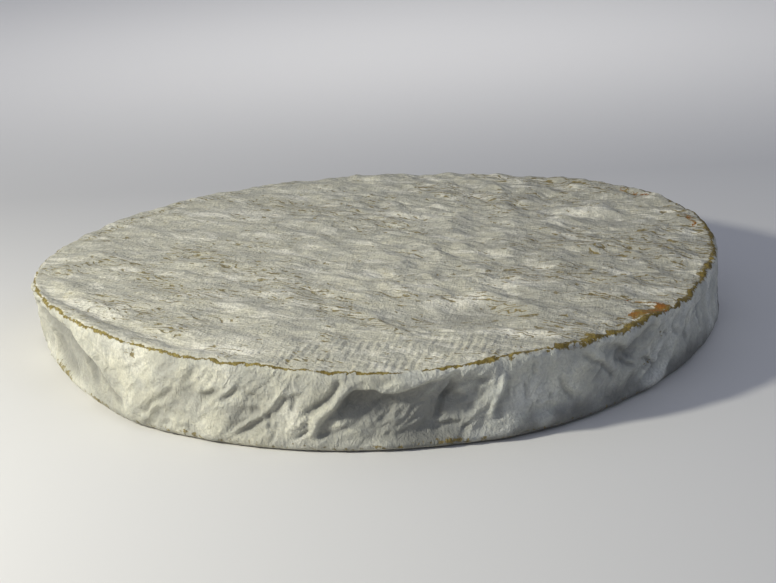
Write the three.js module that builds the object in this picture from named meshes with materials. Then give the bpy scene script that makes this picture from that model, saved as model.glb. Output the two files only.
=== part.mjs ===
// A whole white-rind cheese wheel lying flat on its lower face. It is one solid.
// Millimetres, +Z up. The origin is the middle of the lower face. Angle 0 is +X and 90 is +Y.
import * as THREE from "three";
import { mergeVertices } from "three/addons/utils/BufferGeometryUtils.js";

// Driving dimensions
const MEAN_RADIUS = 173;
const RIM_HEIGHT = 37.4;
const RIM_ROUNDING = 3;
const FOOT_ROUNDING = 5;
const MEAN_UNDERCUT = 0.3; // how far the foot stands in from the rim
const DISH_DEPTH = 1.5; // how far the middle of the top lies below its rim
const RIM_BAND = 30; // width of the top's outer band, where the rim's sags die out
const DENT_FADE = 12; // power of the radius by which the side's dents die out inwards

// Waves round the wheel: [crests, height of a crest, angle of a crest].
const OUTLINE_WAVES = [[3, 2.2, 47], [4, 0.8, 18], [5, 1.3, 12]];
const UNDERCUT_WAVES = [[3, 3.6, 83], [4, 1.9, 26]];
const RIM_HEIGHT_WAVES = [[2, 1.6, 40], [4, 1.3, 30]];

// Places where the rim sags or stands up: [angle, half width in degrees, rise].
const RIM_SAGS = [[271, 9, -2.5]];

// Hollows and swellings of the side: [angle, height, half width, half height, move outwards].
const SIDE_DENTS = [
  [268, 20, 11, 9, -4.5], // deep hollow under an arch of the rim
  [212, 22, 20, 12, -3], // broad dent
  [240, 23, 28, 12, 2], // full, smooth stretch
  [259, 13, 8, 8, 1.5],
  [280, 26, 9, 9, -2],
  [287, 14, 8, 14, 1.5],
  [297, 13, 16, 10, -1.5],
  [312, 22, 14, 10, -2],
  [345, 22, 32, 16, -2.5],
  [20, 18, 30, 12, 1.5],
  [58, 20, 22, 10, -2.5],
  [95, 22, 26, 12, 2],
  [130, 16, 20, 10, -2.5],
  [160, 22, 26, 16, -2.5],
  [198, 12, 24, 12, -2.5],
  [230, 5, 24, 10, 2.5], // the foot spreads
  [293, 5, 34, 10, 2.5],
];

// Hollows and swellings of the top: [x, y, half length, half width, turn in degrees, rise].
const TOP_DENTS = [
  [22, -106, 34, 20, -8, -3], // the large smooth hollow
  [-132, -82, 34, 9, -40, -1.5], // valley behind the rim
  [-112, -66, 26, 14, -30, 1.2],
  [66, -64, 34, 16, -12, 0.9],
  [112, 30, 40, 22, 30, -1],
  [-40, 70, 45, 26, 15, 1],
  [30, 96, 40, 22, -10, -1.2],
  [-100, 40, 34, 20, 60, -0.9],
];

// Fineness of the faceted surface
const ANGLE_STEPS = 96;
const TOP_RINGS = 11;
const WALL_ROWS = 6;
const ROUNDING_ROWS = 3;

const RIND_COLOUR = 0xd0cdc2;
const RIND_ROUGHNESS = 0.9;

const bell = (distance) => Math.exp(-distance * distance);

const turnBetween = (a, b) => ((((a - b) % 360) + 540) % 360) - 180;

function waves(list, degrees) {
  return list.reduce(
    (sum, [crests, height, crest]) =>
      sum + height * Math.cos(THREE.MathUtils.degToRad(crests * (degrees - crest))),
    0,
  );
}

// Radius of the wall before its dents, at a share of the wheel's height.
function wallRadius(degrees, share) {
  const undercut = MEAN_UNDERCUT + waves(UNDERCUT_WAVES, degrees);
  return MEAN_RADIUS + waves(OUTLINE_WAVES, degrees) - undercut * (1 - share);
}

function sideDent(degrees, height) {
  const millimetresPerDegree = THREE.MathUtils.degToRad(MEAN_RADIUS);
  return SIDE_DENTS.reduce((sum, [angle, middle, halfWidth, halfHeight, out]) => {
    const along = (turnBetween(degrees, angle) * millimetresPerDegree) / halfWidth;
    return sum + out * bell(Math.hypot(along, (height - middle) / halfHeight));
  }, 0);
}

function topRelief(x, y, degrees, radiusShare) {
  const rimShare = THREE.MathUtils.smoothstep(radiusShare, 1 - RIM_BAND / MEAN_RADIUS, 1);
  const sag = RIM_SAGS.reduce(
    (sum, [angle, halfWidth, rise]) => sum + rise * bell(turnBetween(degrees, angle) / halfWidth),
    0,
  );
  const dents = TOP_DENTS.reduce((sum, [middleX, middleY, halfLength, halfWidth, turn, rise]) => {
    const radians = THREE.MathUtils.degToRad(turn);
    const along = (x - middleX) * Math.cos(radians) + (y - middleY) * Math.sin(radians);
    const across = (y - middleY) * Math.cos(radians) - (x - middleX) * Math.sin(radians);
    return sum + rise * bell(Math.hypot(along / halfLength, across / halfWidth));
  }, 0);
  const rim = (sag + waves(RIM_HEIGHT_WAVES, degrees)) * rimShare;
  return rim + dents - DISH_DEPTH * (1 - radiusShare * radiusShare);
}

// The section of a plain wheel, from the middle of its foot round to the middle of its top.
function plainSection() {
  const points = [new THREE.Vector2(0, 0)];
  for (let i = 0; i <= ROUNDING_ROWS; i++) {
    const a = (i / ROUNDING_ROWS - 1) * (Math.PI / 2);
    points.push(new THREE.Vector2(
      MEAN_RADIUS + FOOT_ROUNDING * (Math.cos(a) - 1),
      FOOT_ROUNDING * (Math.sin(a) + 1),
    ));
  }
  const wallTop = RIM_HEIGHT - RIM_ROUNDING;
  for (let i = 1; i < WALL_ROWS; i++) {
    const share = i / WALL_ROWS;
    points.push(new THREE.Vector2(MEAN_RADIUS, FOOT_ROUNDING + share * (wallTop - FOOT_ROUNDING)));
  }
  for (let i = 0; i <= ROUNDING_ROWS; i++) {
    const a = (i / ROUNDING_ROWS) * (Math.PI / 2);
    points.push(new THREE.Vector2(
      MEAN_RADIUS + RIM_ROUNDING * (Math.cos(a) - 1),
      wallTop + RIM_ROUNDING * Math.sin(a),
    ));
  }
  for (let i = 1; i <= TOP_RINGS; i++) {
    points.push(new THREE.Vector2(
      (MEAN_RADIUS - RIM_ROUNDING) * (1 - i / TOP_RINGS),
      RIM_HEIGHT,
    ));
  }
  return points;
}

// Moves each point of the plain wheel out to the uneven outline, then presses in the dents.
function shapeWheel(geometry) {
  const position = geometry.getAttribute("position");
  for (let i = 0; i < position.count; i++) {
    const radius = Math.hypot(position.getX(i), position.getY(i));
    const degrees = THREE.MathUtils.radToDeg(Math.atan2(position.getY(i), position.getX(i)));
    const share = position.getZ(i) / RIM_HEIGHT;
    const radiusShare = radius / MEAN_RADIUS;
    const shaped = radiusShare * wallRadius(degrees, share)
      + radiusShare ** DENT_FADE * sideDent(degrees, position.getZ(i));
    const x = shaped * Math.cos(THREE.MathUtils.degToRad(degrees));
    const y = shaped * Math.sin(THREE.MathUtils.degToRad(degrees));
    const z = share * (RIM_HEIGHT + topRelief(x, y, degrees, radiusShare));
    position.setXYZ(i, x, y, z);
  }
}

function cheeseWheel() {
  const lathed = new THREE.LatheGeometry(plainSection(), ANGLE_STEPS);
  lathed.rotateX(Math.PI / 2);
  lathed.deleteAttribute("normal");
  lathed.deleteAttribute("uv");
  const geometry = mergeVertices(lathed, 1e-3);
  shapeWheel(geometry);
  geometry.computeBoundingBox();
  const middle = geometry.boundingBox.getCenter(new THREE.Vector3());
  geometry.translate(-middle.x, -middle.y, 0);
  geometry.computeVertexNormals();
  const rind = new THREE.MeshStandardMaterial({
    color: RIND_COLOUR,
    roughness: RIND_ROUGHNESS,
    metalness: 0,
  });
  const mesh = new THREE.Mesh(geometry, rind);
  mesh.name = "cheese_wheel";
  return mesh;
}

const part = new THREE.Group();
part.add(cheeseWheel());

export default part;
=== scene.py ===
"""A whole white-rind cheese wheel on a pale floor.

The wheel is one closed mesh, worked out in millimetres from the CAD solid's driving dimensions, with finer
forms added. Angle 0 is +X and 90 is +Y, so 270 is the front. Heights start at the floor.
"""

import math

import bpy
import numpy as np
from mathutils import Matrix


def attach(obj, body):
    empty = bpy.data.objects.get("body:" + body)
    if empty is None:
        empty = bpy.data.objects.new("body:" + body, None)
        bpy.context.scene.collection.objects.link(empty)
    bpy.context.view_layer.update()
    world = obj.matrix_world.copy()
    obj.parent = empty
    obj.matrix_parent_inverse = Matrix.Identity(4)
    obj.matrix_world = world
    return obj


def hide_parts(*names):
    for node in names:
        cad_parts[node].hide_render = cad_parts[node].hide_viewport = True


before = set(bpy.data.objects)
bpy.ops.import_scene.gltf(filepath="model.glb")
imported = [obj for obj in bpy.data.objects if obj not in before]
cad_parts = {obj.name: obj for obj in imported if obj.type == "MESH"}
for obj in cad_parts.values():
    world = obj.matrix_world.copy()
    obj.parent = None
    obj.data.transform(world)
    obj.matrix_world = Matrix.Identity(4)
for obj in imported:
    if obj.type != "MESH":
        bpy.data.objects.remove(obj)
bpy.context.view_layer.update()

MM = 0.001

# ---------------------------------------------------------------------------------------------
# Driving dimensions, as in the CAD solid. Two of its dents are missing from the lists, because the
# finer forms below press them in: the deep hollow of the front, and the valley behind the rim.
# ---------------------------------------------------------------------------------------------
MEAN_RADIUS = 173.0
RIM_HEIGHT = 37.4
RIM_ROUNDING = 3.0
FOOT_ROUNDING = 5.0
MEAN_UNDERCUT = 0.3
DISH_DEPTH = 1.5
RIM_BAND = 30.0
DENT_FADE = 12

# [crests, height of a crest, angle of a crest]
OUTLINE_WAVES = [[3, 2.2, 47], [4, 0.8, 18], [5, 1.3, 12]]
UNDERCUT_WAVES = [[3, 3.6, 83], [4, 1.9, 26]]
RIM_HEIGHT_WAVES = [[2, 1.6, 40], [4, 1.3, 30]]

# [angle, half width in degrees, rise]
RIM_SAGS = [[271, 9, -2.5]]

# [angle, height, half width, half height, move outwards]
SIDE_DENTS = [
    [212, 22, 20, 12, -3],
    [240, 23, 28, 12, 2],
    [259, 13, 8, 8, 1.5],
    [280, 26, 9, 9, -2],
    [287, 14, 8, 14, 1.5],
    [297, 13, 16, 10, -1.5],
    [312, 22, 14, 10, -2],
    [345, 22, 32, 16, -2.5],
    [20, 18, 30, 12, 1.5],
    [58, 20, 22, 10, -2.5],
    [95, 22, 26, 12, 2],
    [130, 16, 20, 10, -2.5],
    [160, 22, 26, 16, -2.5],
    [198, 12, 24, 12, -2.5],
    [230, 5, 24, 10, 2.5],
    [293, 5, 34, 10, 2.5],
]

# [x, y, half length, half width, turn in degrees, rise]
TOP_DENTS = [
    [22, -106, 34, 20, -8, -3],
    [-112, -66, 26, 14, -30, 1.2],
    [66, -64, 34, 16, -12, 0.9],
    [112, 30, 40, 22, 30, -1],
    [-40, 70, 45, 26, 15, 1],
    [30, 96, 40, 22, -10, -1.2],
    [-100, 40, 34, 20, 60, -0.9],
]

# ---------------------------------------------------------------------------------------------
# Finer forms that only the visual model has
# ---------------------------------------------------------------------------------------------
# Hollows under an overhanging edge: [[(angle, height), ...] from left to right, depth, how far down]
SHELVES = [
    [[(262.8, 15), (264.2, 24), (266.4, 29.3), (269, 29), (272, 26)], 6.5, 24],
    [[(268, 24), (272.4, 28.4), (276, 31.6), (282, 32)], 4.0, 22],
    [[(277, 22), (279, 25.4), (281.6, 22)], 2.0, 8],
    [[(276.4, 10.5), (279, 11.4), (282, 9)], 2.2, 6],
    [[(289, 12), (293, 13.5), (298, 11)], 1.6, 7],
    [[(281, 29), (283, 31), (285.4, 29)], 2.2, 15],
    [
        [(300.5, 34), (304.5, 33.4), (307, 30.5), (308.8, 26.4), (310.3, 30.4), (313.5, 33.6), (318, 35)],
        3.2,
        11,
    ],
    [[(302, 7), (304.5, 7.4), (307, 6)], 1.2, 4],
    [[(232, 6), (238, 7.5), (244, 5)], 1.2, 5],
    [[(326, 28), (334, 31), (342, 29)], 1.8, 14],
    [[(8, 29), (16, 32), (24, 27)], 2.0, 16],
    [[(40, 26), (49, 31), (58, 27)], 2.4, 18],
    [[(72, 31), (78, 29), (85, 31)], 1.6, 12],
    [[(104, 27), (112, 32), (121, 26)], 2.2, 15],
    [[(133, 24), (141, 30), (149, 27)], 2.4, 20],
    [[(163, 30), (171, 32), (180, 27)], 1.9, 14],
]

# Stretches that lean in below the rim: [angle, half width in degrees, how far]
LEANS = [
    [276.5, 9.5, 5.0],
    [204, 11, 4.5],
    [303, 12, 2.0],
]

# Creases and ridges of the side, each from its upper end:
# [[(angle, height), ...], half width, rise of the line, rise of the strip on its right]
SIDE_LINES = [
    [[(184, 28), (196, 28), (206, 26.5), (212, 24), (217, 20), (222, 12)], 4.8, -5.2, 1.2],
    [[(213, 29), (218, 24.5), (222, 18.5), (225, 13), (228.5, 7)], 1.7, -2.6, 1.1],
    [[(210, 33.5), (215, 30), (219.6, 25.5), (223, 19)], 0.9, -1.3, 0.6],
    [[(216, 33), (219.5, 29), (223.4, 22.5), (226, 16)], 0.9, 1.0, -0.7],
    [[(208, 22), (212, 20), (216, 15), (220, 8)], 1.2, 1.1, -0.9],
    [[(206, 30), (211, 27.5), (216, 23)], 0.9, 1.0, -0.8],
    [[(239.5, 24), (236.8, 17.5), (234.3, 13), (233.5, 9.5), (231.8, 9.2)], 1.1, -1.3, 0.8],
    [[(236, 15.5), (234, 9), (231.6, 2)], 1.2, 0.8, -0.8],
    [[(247.6, 27.8), (245.1, 25.4), (242.2, 23.6)], 1.2, 0.8, -0.8],
    [[(250.5, 28), (248.4, 23.7), (245.9, 18.7)], 1.4, -1.1, 0.6],
    [[(246.9, 35), (246.6, 31.5)], 0.8, -0.7, 0.3],
    [[(250.4, 28.5), (250.7, 25), (252.4, 24.4)], 0.8, -0.9, 0.5],
    [[(252.8, 21.5), (250.6, 19.5)], 1.2, 0.6, -0.8],
    [[(258.8, 27.8), (257.1, 26.2), (255.4, 24)], 0.9, 0.8, -0.7],
    [[(256.6, 30), (254.8, 22), (253, 16.2), (250.1, 10.6), (247.2, 5)], 0.8, 1.2, -0.9],
    [[(256, 24), (254.6, 18.5), (253.9, 14)], 0.7, 0.7, -0.6],
    [[(253.1, 16.5), (253.4, 13), (253.2, 9)], 0.7, 0.8, -0.6],
    [[(254.9, 10), (254.4, 6), (253.7, 3)], 0.9, -1.1, 0.6],
    [[(263.9, 34), (263.5, 29.4), (262.5, 24.5), (260.4, 20), (258.8, 16.4)], 1.5, -1.9, 1.0],
    [[(257.6, 24), (257.1, 17.4)], 1.2, -1.3, 0.5],
    [[(264.9, 30), (263.3, 22.5), (261.2, 16.2), (260.4, 10), (260, 6)], 1.2, 1.3, -1.1],
    [[(265.6, 32), (264.6, 25.5), (262.6, 19.5)], 0.8, 0.6, -0.5],
    [[(259.6, 10.5), (257.5, 5.6)], 0.9, -0.9, 0.6],
    [[(267.5, 15), (263.3, 10), (260.2, 6.5)], 1.3, -1.0, 0.5],
    [[(271.4, 24), (270, 23), (268.8, 20)], 0.8, 0.8, -0.7],
    [[(272, 23), (270.6, 21.6), (269.6, 18.6)], 0.8, 0.7, -0.6],
    [[(279.9, 32), (278.8, 26.2), (277.5, 21.5), (277.1, 16.2), (276.5, 12)], 0.9, 1.3, -1.2],
    [[(280.6, 31), (279.4, 27)], 0.8, 0.6, -0.4],
    [[(287, 33), (286.1, 23.7), (285.2, 17.5), (284.6, 9)], 1.2, 1.6, -1.0],
    [[(285, 31), (283, 26)], 1.0, -0.8, 0.5],
    [[(287.4, 24), (287.3, 18)], 0.7, -0.8, 0.3],
    [[(288.3, 24), (288.1, 17.5)], 0.7, -0.8, 0.3],
    [[(290.1, 25), (289.9, 16)], 0.7, -0.9, 0.3],
    [[(291.3, 34), (291, 26)], 0.9, -0.8, 0.4],
    [[(291.1, 15.4), (290.5, 10.5)], 0.7, -0.9, 0.5],
    [[(291.9, 15.8), (291.4, 11.5)], 0.7, -0.9, 0.5],
    [[(294.2, 18), (293.4, 14)], 0.7, -0.8, 0.4],
    [[(295.2, 26), (296.4, 16.2), (298.6, 9.5)], 1.4, -1.0, 1.1],
    [[(298.5, 33), (301, 27), (304.5, 20), (306, 12)], 1.3, -1.3, 1.0],
    [[(303.5, 30), (302.5, 23), (300.5, 16)], 0.9, 0.9, -0.8],
    [[(307.4, 21.5), (309.2, 19.4), (310.9, 15.8)], 0.9, -1.4, 0.5],
    [[(309, 24.4), (310.9, 19)], 0.8, -1.1, 0.4],
    [[(312.4, 19.8), (314.2, 16.2), (316.4, 10.4)], 1.0, -1.4, 0.6],
    [[(314.8, 14.2), (313.8, 13), (312.6, 14.6)], 0.8, -1.0, 0.4],
    [[(318, 27), (318.8, 24.5)], 0.9, -1.2, 0.3],
    [[(322, 33), (321, 27), (322.5, 20)], 1.6, -1.0, 0.9],
    [[(327, 34), (325, 25), (326.4, 12)], 1.6, -1.1, 0.9],
    [[(333, 35), (331.4, 24), (332, 10)], 1.5, 1.1, -1.0],
]

# Where the skin is finely wrinkled: [angle, height, half width, half height, strength]
WRINKLED = [
    [273.3, 14, 14, 8, 1.3],
    [258.5, 13, 9, 6, 1.0],
    [282, 21, 12, 12, 0.9],
    [256, 32, 7, 4, 1.0],
    [249, 22, 16, 8, 0.5],
    [218, 20, 14, 14, 0.6],
    [311, 18, 24, 12, 1.2],
    [301, 30, 10, 5, 0.6],
    [330, 18, 24, 14, 0.7],
]

# Bare rind in flecks: [angle, height, half width, half height, strength]
FLECKS = [
    [230.4, 32, 4, 3, 0.62],
    [220, 3, 16, 2.2, 0.76],
    [203, 3.4, 24, 2.2, 0.78],
    [256.2, 33, 3, 3, 0.5],
    [279, 3, 16, 2.5, 0.62],
    [314, 15, 6, 5, 0.5],
    [318, 26, 4, 3, 0.55],
    [241, 3.5, 10, 2, 0.58],
]

# The swirl of skin left of the deep hollow: [angle, height, spacing of its wrinkles, reach]
SWIRL = [259.2, 13, 1.7, 6]

# Pressed further into the top: the middle of the large hollow first, then shallow valleys.
# [x, y, half length, half width, turn in degrees, rise]
TOP_PRESSES = [
    [42, -102, 27, 14, -12, -2.2],
    [72, -92, 20, 9, -30, -0.9],
    [104, -62, 24, 10, -33, -1.0],
    [120, -24, 22, 10, -20, -1.0],
    [-60, -70, 30, 10, -33, -0.8],
]

# Creases of the top: [[(x, y), ...], half width, rise of the line, rise on the left of its run]
TOP_LINES = [
    [[(-172, -22), (-154, -57), (-138, -79), (-117, -104), (-84, -136), (-60, -148)], 4.5, -1.7, 0.9],
    [[(30, -82), (50, -85), (64, -102), (76, -124)], 6, 2.3, 0],
    [[(-12, -84), (2, -112), (14, -128)], 4, 0.9, 0],
    [[(-6, -98), (8, -124), (34, -134), (58, -132)], 3.0, 0.7, -0.3],
    [[(92, -84), (112, -97), (128, -108)], 1.8, -0.6, 0.3],
]

# Where the bare rind shows through in dashes: [[(x, y), ...], half width, strength]
OCHRE_BANDS = [
    [[(-150, 4), (-126, -2), (-98, -52), (-76, -58)], 9, 0.75],
    [[(-132, -60), (-120, -76), (-108, -84)], 7, 0.95],
    [[(-100, -110), (-90, -116)], 6, 0.9],
    [[(-100, 22), (-60, -24), (-18, -86)], 12, 0.7],
    [[(-40, -62), (-14, -98), (9, -124)], 5, 1.0],
    [[(28, -80), (46, -84), (60, -104), (66, -118)], 4, 1.0],
    [[(96, -88), (122, -102)], 3.5, 1.3],
    [[(60, -139), (90, -128)], 6, 0.8],
    [[(90, 10), (150, -20)], 20, 0.55],
    [[(60, -40), (130, -70)], 18, 0.5],
    [[(-60, 110), (10, 60)], 16, 0.6],
    [[(30, 130), (80, 80)], 14, 0.6],
    [[(163, -44), (167, -20), (167, 10), (164, 34), (155, 58)], 5.5, 1.05],
    [[(76, -146), (94, -136), (108, -126)], 4.5, 1.0],
    [[(132, -98), (146, -76), (154, -60)], 4, 0.9],
    [[(130, 100), (100, 130), (60, 152)], 6, 0.9],
    [[(-100, 130), (-130, 98), (-158, 50)], 5, 0.7],
]

# Where the bare rind has turned orange-brown: [[(x, y), ...], half width, strength]
RUST_BANDS = [
    [[(113, -121), (121, -115), (127, -107)], 5.0, 1.0],
    [[(118, -119), (128, -106)], 3.5, 1.0],
    [[(98, -89), (110, -95), (124, -103)], 1.6, 0.62],
    [[(165, 20), (163, 34)], 3, 0.62],
    [[(150, 78), (138, 96)], 3, 0.6],
]

# Thick, bright mould: [x, y, half length, half width, strength]
BLOOM_PATCHES = [
    [-69, -141, 20, 6, 1.0],
    [-130, -77, 18, 8, 0.8],
    [64, -64, 14, 6, 0.9],
    [62, -138, 12, 5, 0.9],
    [43, -85, 10, 5, 1.0],
    [-62, -130, 18, 6, 0.5],
    [20, 70, 26, 10, 0.6],
    [-70, 90, 20, 9, 0.7],
    [110, 60, 20, 8, 0.7],
]

# Where the bare line along the rim widens, lies further in, or is broken: [angle, half width, by how much]
RIM_LINE_SWELLS = [[8, 24, 0.5], [203, 12, 0.3], [300, 15, 1.2], [340, 16, 0.6]]
RIM_LINE_INSETS = [[303, 15, 1.5], [345, 22, 1.4]]
RIM_LINE_GAP = [274, 2.2, 1]

RIM_RAGGED = 7  # how far in the rim's raggedness reaches
RIM_EDGE = 0.3  # share of the rim's rounding at which its edge lies

STRAW_TURN = -33.0  # the way the draining mat's straws ran across the top
STRAW_PITCH = 5.2
STRAW_RISE = 0.2
COMB_TURN = 76.0  # the way the mat's binding threads ran
COMB_PITCH = 3.8
COMB_RISE = 0.32
COMB_PLACE = [6, -157, 56, 23]  # x, y, half length, half width

SIDE_SLANT = 0.8  # how far the side's folds lean over for each millimetre of height
SLANT_HEIGHT = 18  # height at which a fold stands over its place round the wheel
LEFT_SLANT = [214, 14, -1.5]  # where they lean the other way: angle, half width, by how much

# Fineness
UNDER_GRID = 88  # squares along each side of the underside's grid
GRID = 4 * UNDER_GRID  # and of the top's
RIM_ROWS = 5
WALL_ROWS = 40
FOOT_ROWS = 8
UNDER_RING = 3  # width of the ring that joins the underside's grid to the foot
UNDER_RADIUS = MEAN_RADIUS - FOOT_ROUNDING - UNDER_RING
SEED = 7

# ---------------------------------------------------------------------------------------------
# Noise
# ---------------------------------------------------------------------------------------------
rng = np.random.default_rng(SEED)
SHUFFLE = rng.permutation(256)
SLOPES = rng.normal(size=(256, 3))
SLOPES /= np.linalg.norm(SLOPES, axis=1, keepdims=True)


def noise(*coordinates):
    """Smooth noise, about -1 to 1, whose bumps are about one unit wide."""
    p = np.stack(np.broadcast_arrays(*coordinates, *[0.5] * (3 - len(coordinates))), axis=-1)
    cell = np.floor(p).astype(int)
    f = p - cell
    fade = f * f * f * (f * (f * 6 - 15) + 10)
    total = np.zeros(len(p))
    for corner in np.ndindex(2, 2, 2):
        at = (cell + corner) & 255
        slope = SLOPES[SHUFFLE[(SHUFFLE[(SHUFFLE[at[:, 0]] + at[:, 1]) & 255] + at[:, 2]) & 255]]
        weight = np.prod(np.where(corner, fade, 1 - fade), axis=1)
        total += weight * np.sum(slope * (f - corner), axis=1)
    return 1.7 * total


def fractal(octaves, *coordinates):
    """Noise with finer noise on it, each octave half as wide and half as high."""
    return sum(
        noise(*[c * 2**k + 11.3 * k for c in coordinates]) / 2**k for k in range(octaves)
    )


def ridged(*coordinates):
    """Noise with sharp crests, 0 to 1."""
    return 1 - np.minimum(1, 2.2 * np.abs(noise(*coordinates)))


def bell(distance):
    return np.exp(-distance * distance)


def smooth_step(value, low, high):
    share = np.clip((value - low) / (high - low), 0, 1)
    return share * share * (3 - 2 * share)


# ---------------------------------------------------------------------------------------------
# The plain wheel, as in the CAD solid
# ---------------------------------------------------------------------------------------------
def turn_between(a, b):
    return (a - b + 180) % 360 - 180


def swells(rows, degrees):
    """The sum of soft swellings round the wheel: [angle, half width, by how much]."""
    return sum(growth * bell(turn_between(degrees, angle) / half) for angle, half, growth in rows)


def waves(rows, degrees):
    return sum(height * np.cos(np.radians(n * (degrees - crest))) for n, height, crest in rows)


def arc_length(degrees):
    """Millimetres round the wheel that an angle covers."""
    return np.radians(degrees) * MEAN_RADIUS


def wall_radius(degrees, share):
    undercut = MEAN_UNDERCUT + waves(UNDERCUT_WAVES, degrees)
    return MEAN_RADIUS + waves(OUTLINE_WAVES, degrees) - undercut * (1 - share)


def side_dents(degrees, height):
    total = 0
    for angle, middle, half_width, half_height, out in SIDE_DENTS:
        along = arc_length(turn_between(degrees, angle)) / half_width
        total = total + out * bell(np.hypot(along, (height - middle) / half_height))
    return total


def turned(x, y, degrees):
    """How far a point lies along and across a direction."""
    c, s = math.cos(math.radians(degrees)), math.sin(math.radians(degrees))
    return x * c + y * s, y * c - x * s


def dents(x, y, rows):
    total = 0
    for middle_x, middle_y, half_length, half_width, turn, rise in rows:
        along, across = turned(x - middle_x, y - middle_y, turn)
        total = total + rise * bell(np.hypot(along / half_length, across / half_width))
    return total


def top_relief(x, y, degrees, radius_share):
    rim = waves(RIM_HEIGHT_WAVES, degrees) + swells(RIM_SAGS, degrees)
    rim = rim * smooth_step(radius_share, 1 - RIM_BAND / MEAN_RADIUS, 1)
    return rim + dents(x, y, TOP_DENTS) - DISH_DEPTH * (1 - radius_share**2)


# ---------------------------------------------------------------------------------------------
# The grid of points: a square grid pressed into a disc for each face, and rows round the side
# ---------------------------------------------------------------------------------------------
def disc_grid(squares):
    """Radius, 0 to 1, and angle of each point of a square grid pressed into a disc."""
    steps = np.linspace(-1, 1, squares + 1)
    a, b = np.meshgrid(steps, steps, indexing="ij")
    wide = np.abs(a) > np.abs(b)
    radius = np.where(wide, a, b)
    safe = np.where(radius == 0, 1, radius)
    angle = np.where(wide, math.pi / 4 * b / safe, math.pi / 2 - math.pi / 4 * a / safe)
    degrees = np.degrees(np.where(radius < 0, angle + math.pi, angle)) % 360
    return np.abs(radius).ravel(), degrees.ravel()


def grid_edge(squares):
    """The numbers of the grid's edge points, anticlockwise from the corner at -45 degrees."""
    number = np.arange((squares + 1) ** 2).reshape(squares + 1, squares + 1)
    return np.concatenate(
        [number[-1, :-1], number[::-1, -1][:-1], number[0, ::-1][:-1], number[:-1, 0]]
    )


def side_section():
    """Radius, height and tilt of each row between the two faces, from the rim to the foot."""
    rows = []
    for k in range(1, RIM_ROWS + 1):
        tilt = math.pi / 2 * (1 - k / RIM_ROWS)
        rows.append(
            [
                MEAN_RADIUS + RIM_ROUNDING * (math.cos(tilt) - 1),
                RIM_HEIGHT + RIM_ROUNDING * (math.sin(tilt) - 1),
                tilt,
            ]
        )
    wall_top, wall_foot = RIM_HEIGHT - RIM_ROUNDING, FOOT_ROUNDING
    for k in range(1, WALL_ROWS):
        rows.append([MEAN_RADIUS, wall_top + (wall_foot - wall_top) * k / WALL_ROWS, 0])
    for k in range(FOOT_ROWS):
        tilt = -math.pi / 2 * k / FOOT_ROWS
        rows.append(
            [
                MEAN_RADIUS + FOOT_ROUNDING * (math.cos(tilt) - 1),
                FOOT_ROUNDING * (math.sin(tilt) + 1),
                tilt,
            ]
        )
    return np.array(rows)


def plain_points():
    """Radius, height, tilt and angle of every point of the plain wheel, and its faces."""
    share, degrees = disc_grid(GRID)
    edge = grid_edge(GRID)
    section = side_section()
    under_share, under_degrees = disc_grid(UNDER_GRID)
    columns = degrees[edge]
    parts = [[share * (MEAN_RADIUS - RIM_ROUNDING), RIM_HEIGHT, math.pi / 2, degrees]]
    for row_radius, row_height, row_tilt in section:
        parts.append([np.full(len(edge), row_radius), row_height, row_tilt, columns])
    parts.append([under_share * UNDER_RADIUS, 0, -math.pi / 2, under_degrees])
    whole = [np.broadcast_arrays(*part) for part in parts]
    first_row = len(share) + np.arange(len(section))[:, None] * len(edge)
    rows = np.vstack([edge, first_row + np.arange(len(edge))])
    under = len(share) + len(section) * len(edge)
    return np.concatenate([np.array(part, float) for part in whole], axis=1), make_faces(rows, under)


def quads(block):
    """The four corners of each square of a block, its rows running down and its columns round."""
    return np.stack([block[:-1, :-1], block[1:, :-1], block[1:, 1:], block[:-1, 1:]], axis=2)


# Shares of the map's width
UV_FACE = 0.68  # the top
UV_UNDER = 0.25  # the underside's grid
UV_STRIP = 0.11  # each quarter of the side
UV_GAP = 0.015
UV_RING = 1.03  # size of the ring round the underside's grid, next to the grid


def square_map(rows, columns, left, low, wide, high, upright=False):
    """Map places of the points of a block that fills a rectangle of the map."""
    steps_down, steps_across = np.linspace(0, 1, rows + 1), np.linspace(0, 1, columns + 1)
    down, across = np.meshgrid(steps_down, steps_across, indexing="ij")
    u, v = (down, across) if upright else (across, down)
    return np.stack([left + u * wide, low + v * high], axis=-1)


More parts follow.
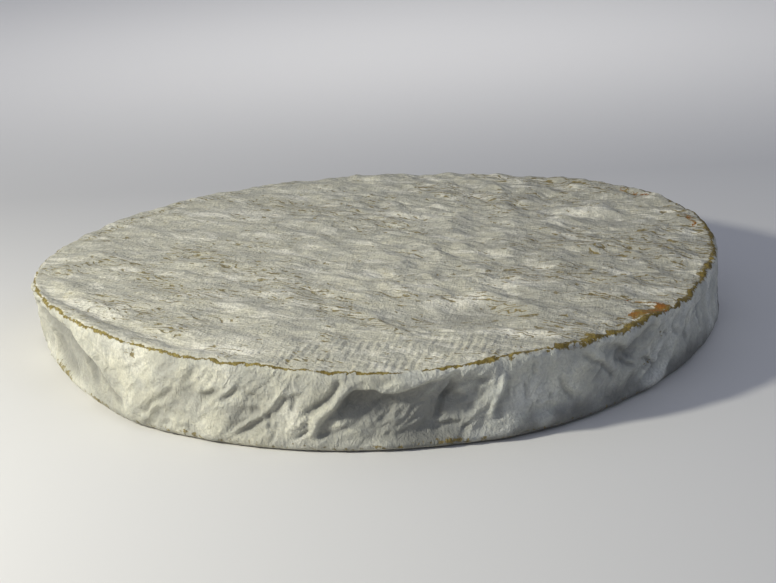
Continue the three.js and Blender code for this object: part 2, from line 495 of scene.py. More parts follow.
def make_faces(rows, under):
    """Every face as a list of point numbers, and the map place of every face corner."""
    top = np.arange((GRID + 1) ** 2).reshape(GRID + 1, GRID + 1)
    faces = quads(top).reshape(-1, 4).tolist()
    places = [quads(square_map(GRID, GRID, UV_GAP, UV_GAP, UV_FACE, UV_FACE)).reshape(-1, 2)]
    closed = np.hstack([rows, rows[:, :1]])
    for k in range(4):
        strip = closed[:, k * GRID : (k + 1) * GRID + 1]
        start = UV_FACE + 2 * UV_GAP + (k // 2) * (UV_STRIP + UV_GAP)
        if k % 2:
            place = square_map(len(rows) - 1, GRID, start, UV_GAP, UV_STRIP, UV_FACE, upright=True)
        else:
            place = square_map(len(rows) - 1, GRID, UV_GAP, start, UV_FACE, UV_STRIP)
        faces += quads(strip).reshape(-1, 4).tolist()
        places.append(quads(place).reshape(-1, 2))

    # The underside: a coarser grid, and a ring of wide faces that joins it to the last row
    coarse = under + np.arange((UNDER_GRID + 1) ** 2).reshape(UNDER_GRID + 1, UNDER_GRID + 1)
    start = UV_FACE + 3 * UV_GAP
    place = square_map(UNDER_GRID, UNDER_GRID, start, start, UV_UNDER, UV_UNDER)
    faces += quads(coarse).reshape(-1, 4)[:, ::-1].tolist()
    places.append(quads(place).reshape(-1, 4, 2)[:, ::-1].reshape(-1, 2))
    inner = under + grid_edge(UNDER_GRID)
    inner_place = place.reshape(-1, 2)[grid_edge(UNDER_GRID)]
    middle = place.reshape(-1, 2).mean(axis=0)
    step = GRID // UNDER_GRID
    for k in range(len(inner)):
        after = (k + 1) % len(inner)
        outer = closed[-1, k * step : (k + 1) * step + 1]
        faces.append([*outer[::-1].tolist(), int(inner[k]), int(inner[after])])
        ring = np.linspace(inner_place[k], inner_place[after], step + 1)
        outward = middle + (ring - middle) * UV_RING
        places.append(np.vstack([outward[::-1], inner_place[[k, after]]]))
    return faces, np.concatenate(places)


# ---------------------------------------------------------------------------------------------
# Lines and bands drawn on a surface
# ---------------------------------------------------------------------------------------------
def smooth_line(points, steps=8):
    """A curve through the points."""
    p = np.array(points, float)
    p = np.vstack([2 * p[0] - p[1], p, 2 * p[-1] - p[-2]])
    t = np.linspace(0, 1, steps, endpoint=False)[:, None]
    pieces = []
    for a, b, c, d in zip(p, p[1:], p[2:], p[3:]):
        pieces.append(
            0.5 * (2 * b + (c - a) * t + (2 * a - 5 * b + 4 * c - d) * t**2
                   + (3 * b - a - 3 * c + d) * t**3)
        )
    return np.vstack([*pieces, p[-2:-1]])


def from_line(x, y, line):
    """Distance from a line, + on its left, and the share of its length at the nearest point."""
    nearest = np.full(len(x), 1e9)
    share = np.zeros(len(x))
    last = len(line) - 1
    for k in range(last):
        (ax, ay), (bx, by) = line[k], line[k + 1]
        dx, dy = bx - ax, by - ay
        length = math.hypot(dx, dy)
        t = np.clip(((x - ax) * dx + (y - ay) * dy) / length**2, 0, 1)
        away = np.hypot(x - ax - t * dx, y - ay - t * dy)
        side = np.where(dx * (y - ay) - dy * (x - ax) >= 0, 1.0, -1.0)
        closer = away < np.abs(nearest)
        nearest = np.where(closer, side * away, nearest)
        share = np.where(closer, (k + t) / last, share)
    return nearest, share


def press_line(x, y, line, half_width, rise, beside):
    """A crease or ridge that dies out at both ends, with the skin pushed up or down beside it."""
    distance, share = from_line(x, y, line)
    ends = smooth_step(share, -0.02, 0.22) * smooth_step(1 - share, -0.02, 0.22)
    shoulder = (distance - 2.4 * half_width) / (1.7 * half_width)
    return ends * (rise * bell(distance / half_width) + beside * bell(shoulder))


def press_shelf(x, y, line, depth, fall):
    """A hollow that starts sharply under a line and runs out further down."""
    distance, share = from_line(x, y, line)
    below = -distance
    hollow = smooth_step(below, -0.8, 2.4) * (1 - smooth_step(below, 3, fall))
    return -depth * hollow * np.sin(math.pi * np.clip(share, 0, 1)) ** 0.8


# ---------------------------------------------------------------------------------------------
# Relief of the top
# ---------------------------------------------------------------------------------------------
def straw_marks(x, y):
    """Marks of the draining mat: long shallow grooves with narrow crests between them."""
    along, across = turned(x, y, STRAW_TURN)
    wander = across + 2.6 * noise(along / 45, across / 30) + 0.9 * noise(along / 13, across / 8, 3.7)
    crest = 1 - np.abs(np.sin(math.pi * wander / STRAW_PITCH))
    strength = smooth_step(noise(along / 30, across / 15, 9.1), -0.1, 0.7)
    return STRAW_RISE * strength * crest**2


def comb_strength(x, y):
    """Where the binding threads of the mat left their marks."""
    middle_x, middle_y, half_length, half_width = COMB_PLACE
    return bell(((x - middle_x) / half_length) ** 2) * bell(((y - middle_y) / half_width) ** 2)


def comb_marks(x, y):
    """Fine parallel ridges that the threads pressed in."""
    along, across = turned(x, y, COMB_TURN)
    wander = across + 1.1 * noise(x / 24, y / 24, 5.8)
    broken = smooth_step(noise(along / 12, across / 6, 8.8), -0.4, 0.3)
    ridges = np.sin(2 * math.pi * wander / COMB_PITCH)
    return COMB_RISE * comb_strength(x, y) * broken * ridges


def top_detail(x, y):
    """Fine relief of the top: rougher towards the right, smooth in the large hollow."""
    along, across = turned(x, y, STRAW_TURN)
    rough = 0.38 + 0.9 * smooth_step(x, -70, 60)
    rough = rough * (0.6 + 0.4 * smooth_step(noise(x / 60, y / 60, 2.9), -0.5, 0.3))
    smooth_spot = bell(np.hypot((x - 32) / 30, (y + 107) / 18))
    smooth_spot = smooth_spot + 0.8 * comb_strength(x, y)
    calm = 1 - 0.85 * np.minimum(smooth_spot, 1)
    soft = 1.5 * fractal(2, along / 38, across / 19, 1.2)
    bumps = 1.5 * noise(along / 20, across / 10, 2.2) + 0.55 * noise(along / 9, across / 5.5, 4.2)
    crumple = 0.6 * (ridged(along / 15, across / 8, 5.5) - 0.4)
    grain = 0.14 * noise(along / 4, across / 3, 6.4)
    fine = bumps + crumple + grain + straw_marks(x, y)
    total = calm * (soft * (0.6 + 0.3 * rough) + rough * fine)
    total = total + comb_marks(x, y) + dents(x, y, TOP_PRESSES)
    wobble_x = x + 1.8 * noise(x / 12, y / 12, 4.1)
    wobble_y = y + 1.8 * noise(x / 12, y / 12, 8.3)
    for points, half_width, rise, beside in TOP_LINES:
        total = total + press_line(wobble_x, wobble_y, smooth_line(points), half_width, rise, beside)
    return total


def band_strength(x, y, rows):
    """The strongest of a list of soft bands at each point."""
    total = np.zeros(len(x))
    for points, half_width, strength in rows:
        distance, _ = from_line(x, y, smooth_line(points))
        total = np.maximum(total, strength * bell(distance / half_width))
    return total


def patch_strength(x, y):
    """How thick and bright the mould of BLOOM_PATCHES is at each point."""
    total = np.zeros(len(x))
    for middle_x, middle_y, half_length, half_width, strength in BLOOM_PATCHES:
        along, across = turned(x - middle_x, y - middle_y, STRAW_TURN * 0.5)
        ragged = 0.35 * noise(x / 6, y / 6, 7.7)
        away = np.hypot(along / half_length, across / half_width) + ragged
        total = np.maximum(total, strength * bell(np.maximum(away, 0)))
    return total


# ---------------------------------------------------------------------------------------------
# Relief of the side
# ---------------------------------------------------------------------------------------------
def round_noise(around, height, wide, tall, layer, sharp=False):
    """Noise on the unrolled side that joins up with itself behind the wheel."""
    kind = ridged if sharp else noise
    whole = arc_length(360)
    join = smooth_step(around, whole - 70, whole)
    here = kind(around / wide, height / tall, layer)
    there = kind((around - whole) / wide, height / tall, layer)
    return (1 - join) * here + join * there


def unrolled(points):
    """A curve of angles and heights, in millimetres round the wheel from the back."""
    return smooth_line([(arc_length((angle - 90) % 360), height) for angle, height in points])


def wrinkled(degrees, height):
    """How finely wrinkled the skin is."""
    total = 0.42
    for angle, middle, half_width, half_height, strength in WRINKLED:
        along = arc_length(turn_between(degrees, angle)) / half_width
        total = total + strength * bell(np.hypot(along, (height - middle) / half_height))
    return total


def swirl(degrees, height):
    """Curved wrinkles round a point."""
    angle, middle, spacing, reach = SWIRL
    away = np.hypot(arc_length(turn_between(degrees, angle)) * 0.7, height - middle)
    return 0.3 * np.cos(2 * math.pi * away / spacing) * bell(away / reach)


def side_detail(degrees, height):
    """Relief of the side, outwards, and the part of it that the drawn lines make."""
    around = arc_length((degrees - 90) % 360)
    lean = SIDE_SLANT + swells([LEFT_SLANT], degrees)
    slanted = around - lean * (height - SLANT_HEIGHT)
    slanted = slanted + 5 * round_noise(around, height, 30, 24, 0.3)
    folds = 2.0 * (round_noise(slanted, height, 24, 40, 1.9, sharp=True) - 0.45)
    valleys = -1.1 * (round_noise(slanted, height, 17, 24, 4.4, sharp=True) - 0.4)
    creases = 1.1 * (round_noise(slanted, height, 9, 15, 3.3, sharp=True) - 0.4)
    wrinkles = 0.65 * (round_noise(slanted, height, 3.9, 6.5, 5.9, sharp=True) - 0.4)
    lumps = 0.5 * round_noise(around, height, 13, 10, 7.1)
    calm = 0.42 + 0.58 * smooth_step(round_noise(around, height, 48, 60, 8.8), -0.35, 0.45)
    total = calm * (folds + valleys + creases) + lumps
    total = total + wrinkles * wrinkled(degrees, height) + swirl(degrees, height)
    below_rim = smooth_step(33 - height, 0, 22) * smooth_step(height, 1, 8)
    total = total - swells(LEANS, degrees) * below_rim

    lines = np.zeros(len(degrees))
    wobble = 0.8 * noise(around / 5, height / 5, 2.6)
    for rows, press, into in ((SHELVES, press_shelf, total), (SIDE_LINES, press_line, lines)):
        for points, *measures in rows:
            near = np.abs(turn_between(degrees, points[0][0])) < 50
            x, y = around[near] + wobble[near], height[near] + wobble[near]
            into[near] += press(x, y, unrolled(points), *measures)
    return total + lines, lines


def rim_detail(degrees):
    """Up and down and in and out of the rim's ragged edge."""
    around = arc_length((degrees - 90) % 360)
    level = np.zeros(len(around))
    lift = 0.75 * round_noise(around, level, 15, 9, 0.7) + 0.4 * round_noise(around, level, 5, 9, 1.7)
    push = 0.8 * round_noise(around, level, 12, 9, 2.7) + 0.45 * round_noise(around, level, 4, 9, 3.9)
    return lift, push


# ---------------------------------------------------------------------------------------------
# The wheel's mesh
# ---------------------------------------------------------------------------------------------
def rim_line_width(degrees):
    """Half width, in millimetres, of the bare line along the rim. It is wider on the right."""
    width = 0.34 + 0.40 * smooth_step(np.abs(turn_between(degrees, 0)), 90, 40)
    return (width + swells(RIM_LINE_SWELLS, degrees)) * (1 - swells([RIM_LINE_GAP], degrees))


def rim_line_inset(degrees):
    """How far the bare line lies in from the rim's edge."""
    return 0.2 + swells(RIM_LINE_INSETS, degrees)


def fleck_strength(degrees, height):
    """Where flecks of bare rind show on the side."""
    total = 0.44 * bell((height - 2) / 3)
    for angle, middle, half_width, half_height, strength in FLECKS:
        along = arc_length(turn_between(degrees, angle)) / half_width
        total = np.maximum(total, strength * bell(np.hypot(along, (height - middle) / half_height)))
    return total


def shape_points(radius, height, tilt, degrees):
    """Every point's place, and the values that the rind's material reads there."""
    share = height / RIM_HEIGHT
    radius_share = radius / MEAN_RADIUS
    shaped = radius_share * wall_radius(degrees, share)
    shaped = shaped + radius_share**DENT_FADE * side_dents(degrees, height)
    unit_x, unit_y = np.cos(np.radians(degrees)), np.sin(np.radians(degrees))
    x, y = shaped * unit_x, shaped * unit_y

    upward = smooth_step(np.sin(tilt), -0.1, 0.9)
    outward = smooth_step(np.cos(tilt), 0.05, 0.9)
    lift, push = rim_detail(degrees)
    at_rim = bell((MEAN_RADIUS - radius) / RIM_RAGGED) * smooth_step(height, 24, RIM_HEIGHT)
    side, lines = np.zeros(len(x)), np.zeros(len(x))
    above_floor = height > 0
    side[above_floor], lines[above_floor] = side_detail(degrees[above_floor], height[above_floor])
    side *= smooth_step(RIM_HEIGHT - height, -0.5, 5) * (0.35 + 0.65 * smooth_step(height, 0, 7))
    calm_edge = 1 - 0.5 * bell((MEAN_RADIUS - radius) / 4)
    rise = upward * calm_edge * top_detail(x, y)
    out = outward * side + at_rim * push
    x, y = x + out * unit_x, y + out * unit_y
    z = share * (RIM_HEIGHT + top_relief(x, y, degrees, radius_share) + rise + at_rim * lift)

    # Distance from the rim's edge along the surface: + on the top, - down the side
    facing_up = tilt > math.pi / 4
    edge = np.where(
        facing_up,
        MEAN_RADIUS - RIM_EDGE * RIM_ROUNDING - radius,
        height - (RIM_HEIGHT - RIM_EDGE * RIM_ROUNDING),
    )
    flecked = ~facing_up & (radius_share > 0.9)
    pressed = np.clip(-dents(x, y, TOP_PRESSES), 0, 2.2)
    values = {
        "edge": edge - rim_line_inset(degrees),
        "dashes": upward * np.clip(band_strength(x, y, OCHRE_BANDS), 0, 1.3),
        "bloom": upward * patch_strength(x, y),
        "rust": upward * np.clip(band_strength(x, y, RUST_BANDS), 0, 1),
        "line": rim_line_width(degrees),
        "side": outward,
        "fleck": fleck_strength(degrees, height) * flecked,
        # Painted shade, darker with the depth of the side's hollows and folds; in the top's pressed
        # hollows it is partly painted shade and partly thinner grey mould
        "hollow": np.clip(-side - 0.4, 0, 3.6) / 3.6 + upward * pressed / 4,
        # Painted shade along the pressed-in creases of the side
        "crease": outward * np.clip(-lines - 0.1, 0, 0.8) / 0.8,
    }
    return np.stack([x, y, z], axis=1), values


def make_wheel():
    """One closed mesh, its middle above the origin, with a map for baking."""
    (radius, height, tilt, degrees), (faces, places) = plain_points()
    points, values = shape_points(radius, height, tilt, degrees)
    low, high = points.min(axis=0), points.max(axis=0)
    points[:, :2] -= (low[:2] + high[:2]) / 2
    mesh = bpy.data.meshes.new("cheese_wheel_rind")
    mesh.from_pydata((points * MM).tolist(), [], faces)
    mesh.shade_smooth()
    uv = mesh.uv_layers.new(name="OFBake")
    uv.data.foreach_set("uv", places.reshape(-1))
    for name, value in values.items():
        attribute = mesh.attributes.new(name, "FLOAT", "POINT")
        attribute.data.foreach_set("value", value.astype(np.float32))
    mesh.update()
    wheel = bpy.data.objects.new("cheese_wheel_rind", mesh)
    bpy.context.scene.collection.objects.link(wheel)
    return wheel


# ---------------------------------------------------------------------------------------------
# Material
# ---------------------------------------------------------------------------------------------
class Graph:
    """Short names for the nodes that a material or a sky needs."""

    def __init__(self, owner):
        owner.use_nodes = True
        self.tree = owner.node_tree
        self.tree.nodes.clear()

    def add(self, kind, inputs, **settings):
        """A node with its inputs linked to sockets or set to values."""
        node = self.tree.nodes.new(kind)
        for name, value in settings.items():
            setattr(node, name, value)
        for name, value in inputs.items():
            if isinstance(value, bpy.types.NodeSocket):
                self.tree.links.new(value, node.inputs[name])
            else:
                node.inputs[name].default_value = value
        return node

    def attribute(self, name):
        return self.add("ShaderNodeAttribute", {}, attribute_name=name).outputs["Fac"]

    def math(self, operation, a, b=0.0):
        return self.add("ShaderNodeMath", {0: a, 1: b}, operation=operation).outputs[0]

    def placed(self, source, size, turn=0.0):
        """Coordinates in which a feature of the given size, laid along a direction, is one unit."""
        inputs = {"Vector": source, "Scale": size, "Rotation": (0, 0, math.radians(turn))}
        return self.add("ShaderNodeMapping", inputs, vector_type="TEXTURE").outputs[0]

    def swing(self, noise, reach):
        """A noise made to swing to either side of 0."""
        return self.product(self.math("SUBTRACT", noise, 0.5), reach)

    def folded(self, noise):
        """A noise folded where it crosses its middle, so that sharp valleys at 0 run through it."""
        return self.math("ABSOLUTE", self.math("SUBTRACT", noise, 0.5))

    def strongest(self, *values):
        total = values[0]
        for value in values[1:]:
            total = self.math("MAXIMUM", total, value)
        return total

    def product(self, *values):
        total = values[0]
        for value in values[1:]:
            total = self.math("MULTIPLY", total, value)
        return total

    def total(self, *values):
        total = values[0]
        for value in values[1:]:
            total = self.math("ADD", total, value)
        return total

    def noise(self, place, scale, detail=3.0, roughness=0.55, distortion=0.0):
        inputs = {
            "Vector": place,
            "Scale": scale,
            "Detail": detail,
            "Roughness": roughness,
            "Distortion": distortion,
        }
        return self.add("ShaderNodeTexNoise", inputs).outputs["Fac"]

    def ramp(self, value, low, high, start=0.0, end=1.0):
        inputs = {"Value": value, "From Min": low, "From Max": high, "To Min": start, "To Max": end}
        node = self.add("ShaderNodeMapRange", inputs, interpolation_type="SMOOTHSTEP")
        return node.outputs["Result"]

    def blend(self, share, a, b, kind="MIX"):
        node = self.add("ShaderNodeMix", {"Factor": share}, data_type="RGBA", blend_type=kind)
        for socket, value in ((node.inputs[6], a), (node.inputs[7], b)):
            if isinstance(value, bpy.types.NodeSocket):
                self.tree.links.new(value, socket)
            else:
                socket.default_value = (*value, 1)
        return node.outputs[2]


# Mould, from thick and white to thin and grey (BLOOM_DEEP also gives the right of the top a painted
# shade), then painted shade: the grey of the side's hollows, creases and folds, which in the top's pressed
# hollows is partly painted shade and partly thinner grey mould, and the grey of the foot on the shaded
# right
BLOOM_WHITE = (0.83, 0.80, 0.68)
BLOOM_WARM = (0.60, 0.575, 0.45)
BLOOM_GREY = (0.455, 0.445, 0.375)
BLOOM_DEEP = (0.29, 0.28, 0.235)
SHADE_AND_THIN_MOULD_GREY = (0.23, 0.225, 0.195)
FOOT_SHADE_GREY = (0.15, 0.15, 0.14)
# Painted light tints of the side: warm on its lit left, cooler and brighter on its shaded right
LIT_SIDE_TINT = (0.95, 0.965, 1.0)
SHADED_SIDE_TINT = (1.05, 1.10, 1.22)
# Bare rind
OLIVE = (0.27, 0.22, 0.07)
OCHRE = (0.225, 0.165, 0.04)
RUST = (0.26, 0.098, 0.012)
UMBER = (0.10, 0.072, 0.022)

MOULD_ROUGHNESS = 0.9
BARE_ROUGHNESS = 0.62
FLOOR_COLOUR = (0.68, 0.67, 0.65, 1)
FLOOR_ROUGHNESS = 0.8

DASH_PITCH = 0.0031  # metres between the lines that the dashes lie on
DASH_BEND = 4.6  # how many pitches those lines wander


class RindFields:
    """The noises and masks that the colour and the relief of the rind share."""

    def __init__(self, g):
        self.place = g.add("ShaderNodeTexCoord", {}).outputs["Object"]
        axes = g.add("ShaderNodeSeparateXYZ", {"Vector": self.place}).outputs
        self.right, self.up = axes[0], axes[2]
        self.side = g.attribute("side")
        self.on_top = g.math("SUBTRACT", 1.0, self.side)
        straws = g.placed(self.place, (0.009, 0.004, 0.01), STRAW_TURN)
        self.streaks = g.noise(straws, 1.0, 4.0, 0.6, 0.8)
        self.mottle = g.noise(self.place, 90, 4.0, 0.62, 0.5)
        self.patches = g.noise(self.place, 30, 3.0, 0.5, 0.3)
        self.speckle = g.noise(self.place, 850, 3.0, 0.65)

        # Short felted strokes, laid both ways of the mat on the top
        one_way = g.placed(self.place, (0.0042, 0.0013, 0.004), STRAW_TURN)
        other_way = g.placed(self.place, (0.0036, 0.0013, 0.004), COMB_TURN)
        strokes = [g.noise(way, 1.0, 3.0, 0.6) for way in (one_way, other_way)]
        self.weave = g.product(g.total(*strokes, -1.0), self.on_top)

        # Folds of the side's skin
        skin_place = g.placed(self.place, (0.006, 0.006, 0.009))
        self.skin = g.folded(g.noise(skin_place, 1.0, 3.0, 0.55, 0.6))


def dash_marks(g, f):
    """Short curved strokes of bare rind along the straws, thick in some bands and rare elsewhere."""
    bend = g.noise(g.placed(f.place, (0.013, 0.006, 0.01), STRAW_TURN), 1.0, 2.0, 0.5)
    lines = g.placed(f.place, (1, DASH_PITCH, 1), STRAW_TURN)
    across = g.add("ShaderNodeSeparateXYZ", {"Vector": lines}).outputs[1]
    turns = g.total(across, g.product(bend, DASH_BEND))
    strokes = g.ramp(g.math("SINE", g.product(turns, 2 * math.pi)), 0.45, 0.88)
    broken = g.noise(g.placed(f.place, (0.0060, 0.0032, 0.01), STRAW_TURN), 1.0, 3.0, 0.62)
    clusters = g.noise(f.place, 34, 2.0, 0.5)
    everywhere = g.ramp(clusters, 0.48, 0.64, 0.0, 0.42)
    amount = g.strongest(g.attribute("dashes"), everywhere)
    shown = g.ramp(g.total(broken, g.product(amount, 0.36)), 0.62, 0.67)
    return g.product(strokes, shown, f.on_top)


def rim_line(g, f):
    """The ragged line of bare rind along the rim."""
    line = g.attribute("line")
    coarse = g.noise(f.place, 150, 4.0, 0.65)
    fine = g.noise(f.place, 650, 3.0, 0.6)
    ragged = g.total(g.swing(coarse, 3.6), g.swing(fine, 2.0))
    ragged = g.product(ragged, g.total(g.product(line, 0.9), 0.5))
    wide = g.product(g.ramp(g.noise(f.place, 130, 3.0, 0.55), 0.34, 0.62, 0.35, 1.5), line)
    away = g.math("ABSOLUTE", g.total(g.attribute("edge"), ragged))
    share = g.math("DIVIDE", away, g.total(wide, 0.01))
    return g.product(g.ramp(share, 1.3, 0.7), g.ramp(wide, 0.05, 0.16))


def mould_and_shade_colour(g, f):
    """Thin mould shows grey, thick mould cream and white; painted shade darkens the right of the top and
    the side's hollows, creases and folds.
    """
    colour = g.blend(g.ramp(f.mottle, 0.34, 0.66), BLOOM_GREY, BLOOM_WARM)
    thin = g.product(g.ramp(f.streaks, 0.52, 0.34), f.on_top, 0.55)
    colour = g.blend(thin, colour, BLOOM_DEEP)
    # Painted shade: the top is darker towards the right, standing in for the key light falling off across
    # it
    darker_right = g.product(g.ramp(f.right, -0.02, 0.13), f.on_top, 0.48)
    colour = g.blend(darker_right, colour, BLOOM_DEEP)
    grime = g.product(g.ramp(f.patches, 0.52, 0.36), f.side, 0.45)
    colour = g.blend(grime, colour, BLOOM_DEEP)

    drifts = g.noise(g.placed(f.place, (0.024, 0.009, 0.01), STRAW_TURN), 1.0, 4.0, 0.58, 0.6)
    crust = g.product(g.ramp(f.streaks, 0.52, 0.68), g.ramp(f.patches, 0.4, 0.62, 0.1, 0.6), f.on_top)
    crust = g.strongest(crust, g.product(g.ramp(drifts, 0.52, 0.66), f.on_top, 0.7))
    soft_white = g.product(g.ramp(f.patches, 0.46, 0.68), f.side, 0.45)
    bloom = g.product(g.attribute("bloom"), g.ramp(f.mottle, 0.3, 0.55, 0.35, 1.0))
    thick = g.math("MINIMUM", g.total(crust, soft_white, bloom), 1.0)
    colour = g.blend(thick, colour, BLOOM_WHITE)

    colour = g.blend(g.ramp(f.speckle, 0.6, 0.34, 0.0, 0.32), colour, BLOOM_DEEP)
    colour = g.blend(g.ramp(f.weave, -0.06, -0.25, 0.0, 0.38), colour, BLOOM_DEEP)
    colour = g.blend(g.ramp(f.weave, 0.06, 0.26, 0.0, 0.3), colour, BLOOM_WHITE)
    # Painted shade in the side's hollows, darker the deeper they are; partly thinner grey mould in the
    # top's pressed hollows
    colour = g.blend(g.product(g.attribute("hollow"), 0.8), colour, SHADE_AND_THIN_MOULD_GREY)
    # Painted shade in the valleys of the side skin's folds and along its creases
    fold_shade = g.product(g.ramp(f.skin, 0.05, 0.0), g.ramp(f.patches, 0.40, 0.56), f.side, 0.28)
    creases = g.product(g.attribute("crease"), 0.5)
    return g.blend(g.strongest(fold_shade, creases), colour, SHADE_AND_THIN_MOULD_GREY)


def side_colour(g, f, colour):
    """The side gets a painted light tint, warm on its lit left and cool on its shaded right, and painted
    shade along the foot on the right.
    """
    # Painted light: a warm tint on the lit left of the side, a cool, brighter tint on its shaded right
    tint = g.blend(g.ramp(f.right, -0.03, 0.07), LIT_SIDE_TINT, SHADED_SIDE_TINT)
    colour = g.blend(f.side, colour, tint, "MULTIPLY")
    # Painted shade along the bottom of the side on the shaded right
    edge_of_foot = g.total(f.up, g.swing(f.patches, 0.03))
    foot = g.product(g.ramp(edge_of_foot, 0.012, 0.001), g.ramp(f.right, -0.03, 0.03), f.side, 0.85)
    return g.blend(foot, colour, FOOT_SHADE_GREY)


def rind_colour(g, f):
    """Colour of the whole rind, and where it is bare ochre or rust."""
    colour = side_colour(g, f, mould_and_shade_colour(g, f))
    ragged = g.noise(f.place, 420, 4.0, 0.65)
    rust = g.ramp(g.total(g.attribute("rust"), g.swing(ragged, 1.6)), 0.5, 0.66)
    fleck = g.ramp(g.total(g.attribute("fleck"), g.swing(ragged, 1.8)), 0.52, 0.64)
    bare = g.strongest(g.product(dash_marks(g, f), 0.85), rim_line(g, f), g.product(fleck, 0.85))
    brown = g.total(f.right, g.swing(g.noise(f.place, 420, 3.0, 0.6), 0.6))
    ochre = g.blend(g.ramp(brown, -0.1, 0.1), OLIVE, OCHRE)
    ochre = g.blend(g.ramp(g.noise(f.place, 520, 3.0, 0.6), 0.6, 0.42, 0.0, 0.65), ochre, UMBER)
    colour = g.blend(bare, colour, ochre)
    colour = g.blend(rust, colour, g.blend(g.ramp(f.mottle, 0.4, 0.62), RUST, OCHRE))
    return colour, bare, rust


def rind_relief(g, f, bare):
    """Fine relief in metres: grain, felt, straws, the side's crumpled skin, bare rind a little sunk."""
    fine_place = g.placed(f.place, (0.0026, 0.0026, 0.0044))
    fine_skin = g.product(g.folded(g.noise(fine_place, 1.0, 3.0, 0.6, 0.8)), f.side)
    relief = g.total(
        g.product(f.speckle, 0.00045),
        g.product(g.noise(f.place, 330, 4.0, 0.6), 0.0005),
        g.product(f.mottle, 0.0006),
        g.product(f.streaks, f.on_top, 0.0007),
        g.product(f.weave, 0.0007),
        g.product(f.skin, f.side, 0.0023),
        g.product(fine_skin, 0.0011),
        g.product(bare, -0.00025),
    )
    return g.add("ShaderNodeBump", {"Height": relief, "Strength": 0.85, "Distance": 1.0}).outputs[0]


def rind_material():
    """White mould over an ochre rind: mottled, felted, streaked along the mat's straws."""
    material = bpy.data.materials.new("bloomy_rind")
    g = Graph(material)
    f = RindFields(g)
    colour, bare, rust = rind_colour(g, f)
    shader = g.add(
        "ShaderNodeBsdfPrincipled",
        {
            "Base Color": colour,
            "Roughness": g.ramp(g.strongest(bare, rust), 0.0, 1.0, MOULD_ROUGHNESS, BARE_ROUGHNESS),
            "Normal": rind_relief(g, f, bare),
            "Specular IOR Level": 0.14,
            "Sheen Weight": 0.03,
            "Sheen Roughness": 0.5,
            "Subsurface Weight": 0.05,
            "Subsurface Radius": (1.0, 0.8, 0.5),
            "Subsurface Scale": 0.0015,
        },
    )
    g.add("ShaderNodeOutputMaterial", {"Surface": shader.outputs[0]})
    return material


def floor_material():
    material = bpy.data.materials.new("pale_floor")
    g = Graph(material)
    inputs = {"Base Color": FLOOR_COLOUR, "Roughness": FLOOR_ROUGHNESS}
    shader = g.add("ShaderNodeBsdfPrincipled", inputs)
    g.add("ShaderNodeOutputMaterial", {"Surface": shader.outputs[0]})
    return material


# ---------------------------------------------------------------------------------------------
# The studio
# ---------------------------------------------------------------------------------------------
FLOOR_HALF = 30.0
FLOOR_DROP = 0.0002  # keeps the floor's face clear of the wheel's

FRONT = 270
CAMERA_AIM = (4.05 * MM, 0.0, 15.8 * MM)
CAMERA_DISTANCE = 0.875
CAMERA_ELEVATION = 17.3
CAMERA_ROLL = -2.7
CAMERA_LENS = 79.24

# [angle that the light comes from, its elevation, distance in metres, size, power in watts, colour]
LIGHTS = {
    "key": [209, 31, 0.88, 0.09, 7.1, (1.0, 0.98, 0.87)],
    "fill": [312, 40, 2.4, 0.8, 3.4, (0.66, 0.79, 1.0)],
}
# A lamp above and behind the wheel that faces away from it and lights the floor beyond:
# its place, how far it looks down, and its size, power and colour
BACKDROP_PLACE = (0.0, 0.6, 0.9)
BACKDROP_TILT = 18
BACKDROP = [0.6, 9.0, (1.0, 0.99, 0.97)]
# The sky's light at the horizon and from SKY_TOP upwards, as a share of straight up
SKY_LOW = (0.105, 0.108, 0.13)
SKY_HIGH = (0.28, 0.295, 0.355)
SKY_TOP = 0.35


def make_floor():
    mesh = bpy.data.meshes.new("floor")
    h = FLOOR_HALF
    mesh.from_pydata([(-h, -h, 0), (h, -h, 0), (h, h, 0), (-h, h, 0)], [], [(0, 1, 2, 3)])
    mesh.materials.append(floor_material())
    floor = bpy.data.objects.new("floor", mesh)
    floor.location.z = -FLOOR_DROP
    bpy.context.scene.collection.objects.link(floor)


def aimed(azimuth, elevation):
    """The turn of a camera or lamp that stands in a direction from the wheel and looks back at it."""
    return (
        Matrix.Rotation(math.radians(azimuth + 90), 4, "Z")
        @ Matrix.Rotation(math.radians(90 - elevation), 4, "X")
    )


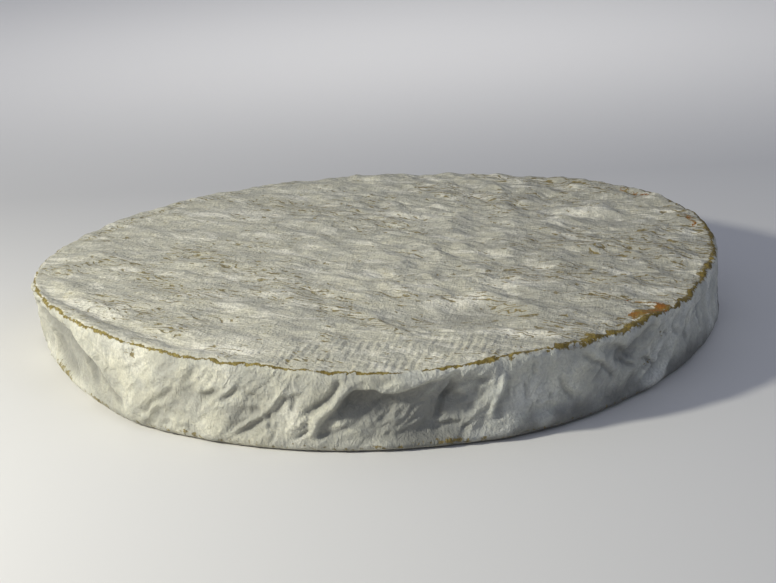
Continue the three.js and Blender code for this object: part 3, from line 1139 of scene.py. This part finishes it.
def direction(azimuth, elevation):
    a, e = math.radians(azimuth), math.radians(elevation)
    return np.array([math.cos(e) * math.cos(a), math.cos(e) * math.sin(a), math.sin(e)])


def make_camera():
    data = bpy.data.cameras.new("camera")
    data.lens = CAMERA_LENS
    data.sensor_width = 36.0
    data.clip_end = 100.0
    camera = bpy.data.objects.new("camera", data)
    turn = aimed(FRONT, CAMERA_ELEVATION) @ Matrix.Rotation(math.radians(CAMERA_ROLL), 4, "Z")
    place = np.array(CAMERA_AIM) + CAMERA_DISTANCE * direction(FRONT, CAMERA_ELEVATION)
    camera.matrix_world = Matrix.Translation(place) @ turn
    bpy.context.scene.collection.objects.link(camera)
    bpy.context.scene.camera = camera


def make_light(name, place, turn, size, power, colour):
    data = bpy.data.lights.new(name, "AREA")
    data.shape = "DISK"
    data.size = size
    data.energy = power
    data.color = colour
    light = bpy.data.objects.new(name, data)
    light.matrix_world = Matrix.Translation(place) @ turn
    light.visible_camera = False
    bpy.context.scene.collection.objects.link(light)


def make_lights():
    for name, (azimuth, elevation, distance, *look) in LIGHTS.items():
        make_light(name, distance * direction(azimuth, elevation), aimed(azimuth, elevation), *look)
    make_light("backdrop", BACKDROP_PLACE, aimed(FRONT, BACKDROP_TILT), *BACKDROP)


def make_sky():
    """Soft light from all round, dim at the horizon and brighter above."""
    world = bpy.data.worlds.new("studio")
    g = Graph(world)
    place = g.add("ShaderNodeTexCoord", {}).outputs["Generated"]
    upward = g.add("ShaderNodeSeparateXYZ", {"Vector": place}).outputs["Z"]
    ramp = g.add("ShaderNodeValToRGB", {"Fac": upward})
    low, high = ramp.color_ramp.elements
    low.color = (*SKY_LOW, 1)
    high.color = (*SKY_HIGH, 1)
    high.position = SKY_TOP
    background = g.add("ShaderNodeBackground", {"Color": ramp.outputs["Color"]})
    g.add("ShaderNodeOutputWorld", {"Surface": background.outputs[0]})
    bpy.context.scene.world = world


wheel = make_wheel()
wheel.data.materials.append(rind_material())
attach(wheel, "root")
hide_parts("cheese_wheel")
make_floor()
make_camera()
make_lights()
make_sky()
bpy.context.scene.view_settings.view_transform = "Standard"
